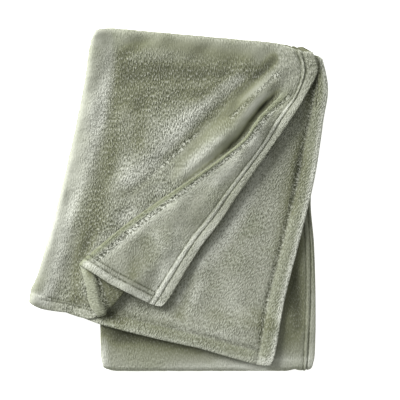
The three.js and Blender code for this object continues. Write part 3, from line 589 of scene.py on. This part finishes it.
def hemLines(rowOut, rowIn):
    # places from the edge inwards, close together at the sewn rows
    fromEdge = [0 * rowOut + step for step in (0, 2.5, 6)]
    atOuterRow = [rowOut * 0.5] + [rowOut + step for step in (-6, -3, -1.2, 0, 1.2, 4)]
    return fromEdge + atOuterRow + [rowIn + step for step in (-6.5, -2.6, -1.1, 0, 1.3, 5)]


hemCount = len(hemLines(*hemForm["rowsShort"]))


def stretchColumns():
    columns = [("hemB", i) for i in range(hemCount - 1)]
    for name in ("lower", "lowerFold", "sideTurn", "upper", "turnLow", "run", "turnHigh", "flap"):
        count = gridLines["turn" if name.startswith("turn") else name]
        columns += [(name, i / count) for i in range(count)]
    return columns + [("hemA", i) for i in range(hemCount)[::-1]]


def acrossPlaces(columns, v):
    section = pleatSection(np.minimum(v, pleat["topV"]))
    turnCount, runCount = gridLines["turn"], gridLines["run"]
    least = gridLines["pleatLeast"] / (2 * turnCount + runCount)
    turnSpan = np.maximum(section["radius"] * section["turn"], least * turnCount)
    runSpan = np.maximum(section["run"], least * runCount)
    pleatSpan = 2 * turnSpan + runSpan
    sideTurn = sideFold["frontRadius"] * math.pi / 2
    pleatFrom = (section["low"] + section["high"] - pleatSpan) / 2 + sideTurn - sideFold["frontRadius"]
    hems = hemLines(*longRows(v))
    hemSpan = hems[-1]
    ends = {
        "lower": (-widthB + hemSpan, -gridLines["lowerFoldSpan"]),
        "lowerFold": (-gridLines["lowerFoldSpan"], -sideTurn), "sideTurn": (-sideTurn, sideTurn),
        "upper": (sideTurn, pleatFrom), "turnLow": (pleatFrom, pleatFrom + turnSpan),
        "run": (pleatFrom + turnSpan, pleatFrom + turnSpan + runSpan),
        "turnHigh": (pleatFrom + turnSpan + runSpan, pleatFrom + pleatSpan),
        "flap": (pleatFrom + pleatSpan, widthA - hemSpan)}
    u = np.empty_like(v)
    for k, (name, t) in enumerate(columns):
        if name.startswith("hem"):
            u[:, k] = (widthA - hems[t][:, k]) if name == "hemA" else (hems[t][:, k] - widthB)
            continue
        low, high = (np.broadcast_to(end, v.shape)[:, k] for end in ends[name])
        u[:, k] = lerp(low, high, t)
    return u


def stretchRows():
    rows = [("hem", i) for i in range(hemCount - 1)]
    for name in ("front", "frontTop", "topTurn", "back", "backEnd", "bottomTurn", "under"):
        rows += [(name, i / gridLines[name]) for i in range(gridLines[name])]
    return rows + [("endHem", i) for i in range(hemCount)[::-1]]


def alongPlaces(rows, s):
    top = topFoldV(s)
    turnTop, turnBottom = gridLines["topTurnHalf"], gridLines["bottomTurnHalf"]
    hems = hemLines(*hemForm["rowsShort"])
    hemSpan = hems[-1]
    backEnd = bottomFoldV - gridLines["backEndSpan"]
    ends = {
        "front": (hemSpan, gridLines["frontTopFrom"]),
        "frontTop": (gridLines["frontTopFrom"], top - turnTop), "topTurn": (top - turnTop, top + turnTop),
        "back": (top + turnTop, backEnd), "backEnd": (backEnd, bottomFoldV - turnBottom),
        "bottomTurn": (bottomFoldV - turnBottom, bottomFoldV + turnBottom),
        "under": (bottomFoldV + turnBottom, alongAll - hemSpan)}
    v = np.empty_like(s)
    for j, (name, t) in enumerate(rows):
        if name in ("hem", "endHem"):
            v[j] = hems[t] if name == "hem" else alongAll - hems[t]
            continue
        if name.endswith("Turn"):
            fromCrest = 2 * t - 1
            t = 0.5 + 0.5 * math.copysign(abs(fromCrest) ** gridLines["crowding"], fromCrest)
        low, high = (np.broadcast_to(end, s.shape)[j] for end in ends[name])
        v[j] = lerp(low, high, t)
    return v


def flatGrid():
    columns, rows = stretchColumns(), stretchRows()
    rough = np.full((len(rows), len(columns)), float(widthA))
    u = acrossPlaces(columns, alongPlaces(rows, rough))
    u = acrossPlaces(columns, alongPlaces(rows, np.abs(u)))
    return u, alongPlaces(rows, np.abs(u))


# The pile on the outer face, in shares and in millimetres of cloth.
# A soft line has a strength, a place and a width.
outerPile = {
    "onEndAt": 8, "onEndSpan": 26, "crumbleFrom": 26, "crumbleFromHigh": 21, "crumbleSpan": 8,
    "crumbleLow": 150, "crumbleRise": 250, "crumbleHem": 14, "hemSpan": 22, "topPast": 20, "topSpan": 60,
    "aboveFrom": -22, "aboveSpan": 16, "flapFrom": 10, "flapSpan": 30,
    "ruffleRest": 0.6, "ruffleBehind": 0.6, "foldAt": 8, "foldSpan": 56, "foldFlat": 0.85,
    # painted light and shade: over the back half, at the crest, along the flap's hems and where the surface
    # turns steep
    "behindShade": -0.4, "crestLight": (0.45, 19, 8), "crestDark": (-0.55, 2, 4), "crumbLight": 0.15,
    "crestEnd": 20, "crestFade": 100,
    "hemEdge": (0.4, 12, 11), "hemRow": (0.9, 32, 6), "shortHem": (0.6, 12, 10), "hemTop": 740, "hemFade": 70,
    "steepFrom": 0.15, "steepSpan": 0.45, "steepFlat": 0.9, "steepDark": 0.6, "steepTop": (0.5, 0, 60),
    "unevenSeed": 11, "unevenShortest": 9, "unevenLongest": 26}
# And on the inner face: strength by the short hem and by the long one, place, width; a painted highlight at the
# edge, painted shade by the sewn row and just inside the hem band.
innerPile = {
    "edge": (0.5, 1.1, 5, 9), "row": (-0.6, -0.4, 28, 16), "beside": (-0.1, -0.6, 48, 9), "cornerSpan": 20,
    "ruffle": 1.3, "crumbleShort": 0.35, "crumbleLong": 0.6, "onEnd": 0.5, "rowShade": 0.45,
    # the ply turned under the flap: a full hem, then shade
    "turnedEdge": (-0.05, 12, 12), "turnedRow": (-1.1, 38, 6), "turnedShade": -1.2, "shadeFrom": 36,
    "shadeSpan": 8, "turnedRuffle": 0.45, "turnedCrumbs": (0.6, 37, 5)}


def softLine(distance, strength, at, span):
    return strength * bump(distance - at, span)


def gridNormals(u, v, step=0.4):
    u0, u1 = np.maximum(u - step, -widthB), np.minimum(u + step, widthA)
    v0, v1 = np.maximum(v - step, 0), np.minimum(v + step, alongAll)
    normal = np.cross(sheetPlace(u1, v) - sheetPlace(u0, v), sheetPlace(u, v1) - sheetPlace(u, v0))
    return normal / np.linalg.norm(normal, axis=-1, keepdims=True)


def clothZones(u, v):
    # where a place lies: on the front, how far from the flap's crest, above it, on the flap
    onFront = (v < topFoldV(np.abs(u))) * 1.0
    section = pleatSection(np.minimum(v, pleat["topV"]))
    fromCrest = u - section["high"] - sideFold["frontRadius"] * (math.pi / 2 - 1)
    upper = (u > 0) * onFront
    return {"onFront": onFront, "fromCrest": fromCrest, "upper": upper,
            "aboveCrest": upper * (1 - ease((fromCrest - outerPile["aboveFrom"]) / outerPile["aboveSpan"])),
            "onFlap": upper * ease((fromCrest - outerPile["flapFrom"]) / outerPile["flapSpan"])}


def outerValues(u, v, x, y, zones, steepness):
    # the pile stands on end over the flap's bend and breaks into crumbs beside it
    look, fromCrest, onFront = outerPile, zones["fromCrest"], zones["onFront"]
    aboveCrest = zones["aboveCrest"]
    belowTop = (u > 0) * ease((pleat["topV"] + look["topPast"] - v) / look["topSpan"])
    onEnd = belowTop * bump(fromCrest - look["onEndAt"], look["onEndSpan"])
    risen = ease((v - look["crumbleLow"]) / look["crumbleRise"])
    crumbleAt = lerp(look["crumbleFrom"], look["crumbleFromHigh"], risen)
    offHem = ease((v - look["crumbleHem"]) / look["hemSpan"])
    crumble = belowTop * bump(fromCrest - crumbleAt, look["crumbleSpan"]) * offHem

    ruffle = lerp(look["ruffleRest"], 1, aboveCrest) * lerp(look["ruffleBehind"], 1, onFront)
    ruffle = ruffle * (1 - look["foldFlat"] * bump(u - look["foldAt"], look["foldSpan"]) * onFront)
    ruffle = ruffle * (1 - np.clip(relief(smoothPile, x, y), 0, 1) * aboveCrest)
    steep = 1 - ease((steepness - look["steepFrom"]) / look["steepSpan"])
    ruffle = ruffle * (1 - look["steepFlat"] * steep)

    # painted light and shade laid in lines, with some of the pile's own brushed tone; the back half a painted
    # shade darker
    napAndShading = (relief(napAndShadingMain, x, y) * aboveCrest + relief(napAndShadingFlap, x, y) * zones["onFlap"]
             + (look["behindShade"] + relief(napAndShadingBehind, x, y)) * (1 - onFront))
    # painted highlights along the flap's hem edge, the ridge between its rows and its short hem; lighter beside
    # the crest, and painted shade on the crest's edge over its sheen
    alongHem = softLine(widthA - u, *look["hemEdge"]) + softLine(widthA - u, *look["hemRow"])
    hems = np.maximum(alongHem, softLine(v, *look["shortHem"])) * ease((look["hemTop"] - v) / look["hemFade"])
    crest = (softLine(fromCrest, *look["crestLight"]) + softLine(fromCrest, *look["crestDark"])
             + look["crumbLight"] * crumble)
    crest = crest * ease((pleat["topV"] - look["crestEnd"] - v) / look["crestFade"])
    napAndShading = napAndShading + zones["upper"] * (hems + crest) * (1 - aboveCrest)
    # painted shade where the surface turns steep, most near the top fold
    napAndShading = napAndShading - steep * (look["steepDark"] + softLine(v - topFoldV(np.abs(u)), *look["steepTop"]))
    crumble = np.maximum(crumble, np.clip(relief(crumbled, x, y), 0, 1) * aboveCrest)
    return onEnd, crumble, ruffle, napAndShading


def innerValues(u, v, x, y, zones, ruffle, softSeam):
    look = innerPile
    fromLong = fromLongHem(u)
    fromEdge = np.minimum(fromLong, v)
    byLong = ease((v - fromLong) / look["cornerSpan"] + 0.5)
    placed = relief(napAndShadingLower, x, y)
    # painted highlight along the hem's edge, painted shade along its sewn row and just inside the hem band
    napAndShading = placed.copy()
    for name in ("edge", "row", "beside"):
        short, long, at, span = look[name]
        napAndShading += softLine(fromEdge, lerp(short, long, byLong), at, span)
    # the ply turned under the flap: darker at its inner row, then painted shade under the flap
    turned = (placed + softLine(fromEdge, *look["turnedEdge"]) + softLine(fromEdge, *look["turnedRow"])
              + look["turnedShade"] * ease((fromEdge - look["shadeFrom"]) / look["shadeSpan"]))
    isTurned = zones["upper"] > 0
    crumble = (lerp(look["crumbleShort"], look["crumbleLong"], byLong) * softSeam
               + softLine(fromEdge, *look["turnedCrumbs"]) * zones["upper"])
    return (crumble, np.where(isTurned, look["turnedRuffle"], look["ruffle"] * ruffle),
            np.where(isTurned, turned, napAndShading * zones["onFront"]))


def addThrow():
    u, v = flatGrid()
    rowCount, columnCount = u.shape
    print("throw: grid of", rowCount, "by", columnCount)
    grid = sheetPlace(u, v)
    normals = gridNormals(u, v)
    middle, normal = grid.reshape(-1, 3), normals.reshape(-1, 3)
    hems = hemProfiles(u, v)
    uneven = waves(u, v, outerPile["unevenSeed"], outerPile["unevenShortest"], outerPile["unevenLongest"])
    pile = throwSizes["pileUneven"] * uneven
    outer = middle + normal * (hems["outer"] + pile).reshape(-1, 1)
    inner = middle - normal * (hems["inner"] + pile).reshape(-1, 1)

    bpy.ops.object.select_all(action="DESELECT")
    bpy.ops.mesh.primitive_grid_add(x_subdivisions=columnCount - 1, y_subdivisions=rowCount - 1, size=1)
    piece = bpy.context.object
    piece.name = "fleeceThrow"
    mesh = piece.data
    mesh.vertices.foreach_set("co", (middle / 1000).reshape(-1))
    flat = np.stack([u + widthB, v], axis=-1).reshape(-1, 2) / alongAll
    corners = np.empty(len(mesh.loops), dtype=np.int32)
    mesh.loops.foreach_get("vertex_index", corners)
    mesh.uv_layers.active.data.foreach_set("uv", flat[corners].reshape(-1).astype(np.float32))
    mesh.update()
    solid = piece.modifiers.new("cloth", "SOLIDIFY")
    solid.thickness = throwSizes["thickness"] / 1000
    solid.offset = 0
    bpy.ops.object.modifier_apply(modifier="cloth")

    # both faces take their own form: two crisp rows outside, one soft groove and a full hem inside
    count = len(middle)
    made = np.empty(len(mesh.vertices) * 3, dtype=np.float32)
    mesh.vertices.foreach_get("co", made)
    firstSide = (made.reshape(-1, 3)[:count] * 1000 - middle) * normal
    firstIsOuter = firstSide.sum() > 0
    whole = np.concatenate((outer, inner) if firstIsOuter else (inner, outer))
    low, high = whole.min(axis=0), whole.max(axis=0)
    whole -= np.array([(low[0] + high[0]) / 2, (low[1] + high[1]) / 2, low[2]])
    mesh.vertices.foreach_set("co", (whole / 1000).astype(np.float32).reshape(-1))
    print("throw:", len(mesh.polygons), "faces")

    x, y = grid[..., 0], grid[..., 1]
    zones = clothZones(u, v)
    onEnd, crumble, ruffle, napAndShading = outerValues(u, v, x, y, zones, np.abs(normals[..., 2]))
    insideCrumble, insideRuffle, insideNapAndShading = innerValues(u, v, x, y, zones, ruffle, hems["softSeam"])
    # the shading values carry painted light and shade; the seam values darken the sewn rows as painted shade in
    # their grooves
    pairs = {"ruffle": (ruffle, insideRuffle), "napAndShading": (0.5 + 0.5 * napAndShading, 0.5 + 0.5 * insideNapAndShading),
             "napOnEnd": (onEnd, innerPile["onEnd"] * hems["band"]), "crumble": (crumble, insideCrumble),
             "seam": (hems["seam"], innerPile["rowShade"] * hems["softSeam"])}
    for name, (outside, inside) in pairs.items():
        layer = mesh.attributes.new(name, "FLOAT", "POINT")
        both = (outside, inside) if firstIsOuter else (inside, outside)
        layer.data.foreach_set("value", np.concatenate(both, axis=None).astype(np.float32))
    mesh.update()
    bpy.ops.object.shade_smooth()
    print("throw: pile laid")
    return piece


throwPiece = addThrow()

# The plush: its colours, the lean and stretch of its grain, and how high it stands.
plush = {
    "grey": (0.232, 0.239, 0.195), "olive": (0.188, 0.202, 0.134), "deep": (0.052, 0.056, 0.032),
    "dark": (0.012, 0.013, 0.007), "pale": (0.46, 0.47, 0.42), "shade": (0.115, 0.120, 0.072),
    "roughness": 0.92, "gloss": 0.15, "sheen": 0.25, "sheenRoughness": 0.35, "sheenTint": (0.84, 0.88, 0.74, 1),
    "grainStretch": 2.4, "grainLean": 0.235, "height": 0.0034, "grainHeight": 2.0, "fibreHeight": 0.07,
    "crumbDepth": 1.3, "crumbDark": 0.8}
# Its noises: marks in a metre, detail, roughness, distortion.
plushNoise = {
    "grain": (320.0, 1.5, 0.55, 0.0), "fibre": (800.0, 1.0, 0.5, 0.0), "tuft": (110.0, 2.0, 0.5, 1.2),
    "patch": (9.0, 3.0, 0.55, 0.8), "clump": (190.0, 0.5, 0.5, 1.0)}
# How values are spread: from, to, and what they become.
plushRange = {
    "breaks": (0.51, 0.40, 0.0, 1.0), "tips": (0.53, 0.64, 0.0, 0.55), "crumbly": (0.1, 0.7, 0.0, 1.0),
    "patchRuffle": (0.36, 0.62, 0.8, 1.2), "crumbRuffle": (0.0, 0.6, 1.0, 0.4),
    "patchOlive": (0.46, 0.68, 0.0, 0.4), "stitchesAndGrooveShade": (0.38, 0.56, 0.35, 0.9),
    "light": (0.52, 1.1, 0.0, 0.95), "shade": (0.48, 0.0, 0.0, 0.9), "dark": (0.0, -0.6, 0.0, 0.95),
    "grainDark": (0.53, 0.36, 0.0, 0.66), "grainLight": (0.52, 0.68, 0.0, 0.42)}


def addMaterial(name, color, roughness):
    material = bpy.data.materials.new(name)
    material.use_nodes = True
    shader = material.node_tree.nodes["Principled BSDF"]
    shader.inputs["Base Color"].default_value = (*color, 1)
    shader.inputs["Roughness"].default_value = roughness
    return material


def makePlush():
    material = addMaterial("sagePlush", plush["grey"], plush["roughness"])
    nodes, links = material.node_tree.nodes, material.node_tree.links
    shader = nodes["Principled BSDF"]
    shader.inputs["Sheen Weight"].default_value = plush["sheen"]
    shader.inputs["Sheen Roughness"].default_value = plush["sheenRoughness"]
    shader.inputs["Sheen Tint"].default_value = plush["sheenTint"]
    shader.inputs["Specular IOR Level"].default_value = plush["gloss"]

    def node(kind, vector=None, **values):
        made = nodes.new(kind)
        for key, value in values.items():
            setattr(made, key, value)
        if vector is not None:
            links.new(vector, made.inputs["Vector"])
        return made

    def combine(operation, *values):
        made = node("ShaderNodeMath", operation=operation)
        for socket, value in zip(made.inputs, values):
            if isinstance(value, float):
                socket.default_value = value
            else:
                links.new(value, socket)
        return made.outputs[0]

    def spread(value, name):
        made = node("ShaderNodeMapRange")
        links.new(value, made.inputs["Value"])
        for socket, number in zip(("From Min", "From Max", "To Min", "To Max"), plushRange[name]):
            made.inputs[socket].default_value = number
        return made.outputs["Result"]

    def noiseOn(vector, name):
        made = node("ShaderNodeTexNoise", vector)
        for socket, number in zip(("Scale", "Detail", "Roughness", "Distortion"), plushNoise[name]):
            made.inputs[socket].default_value = number
        return made.outputs["Fac"]

    def pileValue(name):
        return node("ShaderNodeAttribute", attribute_name=name).outputs["Fac"]

    # the flat cloth's own place in metres, and the same stretched along the grain
    flat = node("ShaderNodeMapping", node("ShaderNodeTexCoord").outputs["UV"])
    flat.inputs["Scale"].default_value = (alongAll / 1000,) * 3
    flat = flat.outputs["Vector"]
    along = node("ShaderNodeMapping", flat, vector_type="TEXTURE")
    along.inputs["Scale"].default_value = (1, plush["grainStretch"], 1)
    along.inputs["Rotation"].default_value = (0, 0, plush["grainLean"])
    along = along.outputs["Vector"]
    grain, tuft = noiseOn(along, "grain"), noiseOn(along, "tuft")
    fibre, patch, clump = (noiseOn(flat, name) for name in ("fibre", "patch", "clump"))
    onEnd, crumble, ruffle, napAndShading, seam = (
        pileValue(name) for name in ("napOnEnd", "crumble", "ruffle", "napAndShading", "seam"))

    # crumbs: dark narrow breaks between pale tufts
    crumbly = spread(crumble, "crumbly")
    crumbs = combine("MULTIPLY", spread(clump, "breaks"), crumbly)
    ruffle = combine("MULTIPLY", ruffle, spread(patch, "patchRuffle"))
    ruffle = combine("MULTIPLY", ruffle, spread(crumble, "crumbRuffle"))
    height = combine("MULTIPLY", combine("MULTIPLY", grain, ruffle), plush["grainHeight"])
    height = combine("ADD", height, combine("MULTIPLY", fibre, plush["fibreHeight"]))
    height = combine("SUBTRACT", height, combine("MULTIPLY", crumbs, plush["crumbDepth"]))
    relieved = node("ShaderNodeBump")
    relieved.inputs["Strength"].default_value = 1.0
    relieved.inputs["Distance"].default_value = plush["height"]
    links.new(height, relieved.inputs["Height"])
    links.new(relieved.outputs["Normal"], shader.inputs["Normal"])

    tones = [
        (combine("MAXIMUM", onEnd, spread(patch, "patchOlive")), "olive"),
        # painted highlight and painted shade, with some of the pile's own brushed tone
        (spread(napAndShading, "light"), "pale"), (spread(napAndShading, "shade"), "shade"), (spread(napAndShading, "dark"), "dark"),
        (combine("MULTIPLY", spread(grain, "grainDark"), ruffle), "deep"),
        (combine("MULTIPLY", spread(grain, "grainLight"), ruffle), "pale"),
        (combine("MULTIPLY", spread(clump, "tips"), crumbly), "pale"),
        (combine("MULTIPLY", crumbs, plush["crumbDark"]), "deep"),
        # darker along the sewn rows: painted shade in their grooves, broken up like stitches
        (combine("MULTIPLY", seam, spread(tuft, "stitchesAndGrooveShade")), "deep")]
    color = None
    for share, tone in tones:
        made = node("ShaderNodeMix", data_type="RGBA")
        made.inputs["A"].default_value = (*plush["grey"], 1)
        made.inputs["B"].default_value = (*plush[tone], 1)
        links.new(share, made.inputs["Factor"])
        if color is not None:
            links.new(color, made.inputs["A"])
        color = made.outputs["Result"]
    links.new(color, shader.inputs["Base Color"])
    print("throw: plush made")
    return material


throwPiece.data.materials.append(makePlush())
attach(throwPiece, "root")
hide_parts("throw")

# Studio: pale floor, soft light from the upper left, camera straight above.
studio = {"floorSize": 14.0, "floorColor": (0.97, 0.97, 0.97), "floorRoughness": 0.9, "floorGlow": 0.7,
          "keyPlace": (-3.4, 2.7, 2.4), "keyWidth": 3.0, "keyWatts": 660.0,
          "skyColor": (0.985, 1, 0.94, 1), "skyStrength": 0.60,
          "viewX": 0.0574, "viewY": -0.0007, "viewHeight": 6.0, "viewWidth": 1.068, "sheetTop": 0.02,
          "sensor": 36}

bpy.ops.mesh.primitive_plane_add(size=studio["floorSize"], location=(0, 0, 0))
floor = bpy.context.object
floor.name = "studioFloor"
floor.data.materials.append(addMaterial("paleFloor", studio["floorColor"], studio["floorRoughness"]))
glow = floor.data.materials[0].node_tree.nodes["Principled BSDF"].inputs
glow["Emission Color"].default_value = (1, 1, 1, 1)
glow["Emission Strength"].default_value = studio["floorGlow"]

bpy.ops.object.light_add(type="AREA", location=studio["keyPlace"])
key = bpy.context.object
key.data.size = studio["keyWidth"]
key.data.energy = studio["keyWatts"]
key.rotation_euler = (-Vector(studio["keyPlace"])).to_track_quat("-Z", "Y").to_euler()

world = bpy.data.worlds.new("studioWorld")
bpy.context.scene.world = world
world.use_nodes = True
sky = world.node_tree.nodes["Background"].inputs
sky["Color"].default_value = studio["skyColor"]
sky["Strength"].default_value = studio["skyStrength"]

bpy.ops.object.camera_add(location=(studio["viewX"], studio["viewY"], studio["viewHeight"]))
camera = bpy.context.object
camera.data.sensor_width = studio["sensor"]
camera.data.lens = studio["sensor"] * (studio["viewHeight"] - studio["sheetTop"]) / studio["viewWidth"]
bpy.context.scene.camera = camera
bpy.context.scene.view_settings.view_transform = "Standard"
print("studio set")
